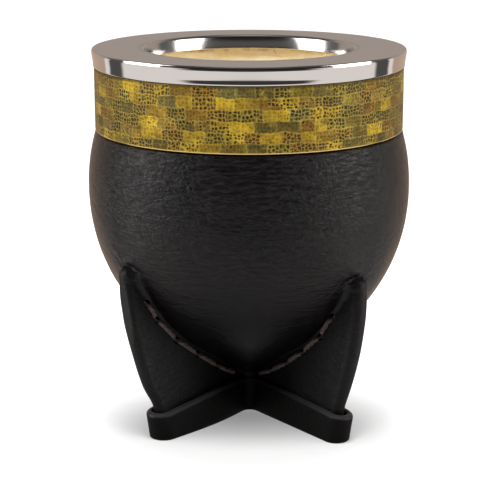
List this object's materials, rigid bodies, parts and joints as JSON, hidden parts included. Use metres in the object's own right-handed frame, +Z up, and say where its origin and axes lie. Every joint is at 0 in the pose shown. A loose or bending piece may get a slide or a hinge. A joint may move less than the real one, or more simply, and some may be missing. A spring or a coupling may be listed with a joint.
{
  "type": "mate gourd cup",
  "caption": "Calabash mate cup in a moulded black leather cover with sewn fin legs, a leather foot strap, a metal collar and a polished steel rim.",
  "frame": {"origin": "on the gourd's axis, at the surface that the foot strap stands on", "axes": "+Z up, -Y towards the front (the middle of the gap between the two front fins), +X to the right"},
  "size_m": [0.088, 0.088, 0.101],
  "materials": {
    "calabash": "bare dry gourd wall, matt, pale cream",
    "cover_leather": "smooth moulded black leather with a fine grain, satin",
    "polished_steel": "polished stainless steel, bright skirt and satin top",
    "mottled_metal": "mottled gold, olive and brown in small blocks with a cell pattern, lacquered",
    "strap_leather": "black leather strip on edge with a burnished top edge, satin",
    "waxed_thread": "dark brown waxed twisted thread"
  },
  "bodies": {
    "root": {"gourd_shell": "calabash", "leather_cover": "cover_leather", "steel_rim": "polished_steel", "metal_collar": "mottled_metal", "foot_strap": "strap_leather", "thread_front_left": "waxed_thread", "thread_front_right": "waxed_thread", "thread_rear_right": "waxed_thread", "thread_rear_left": "waxed_thread"}
  },
  "joints": []
}
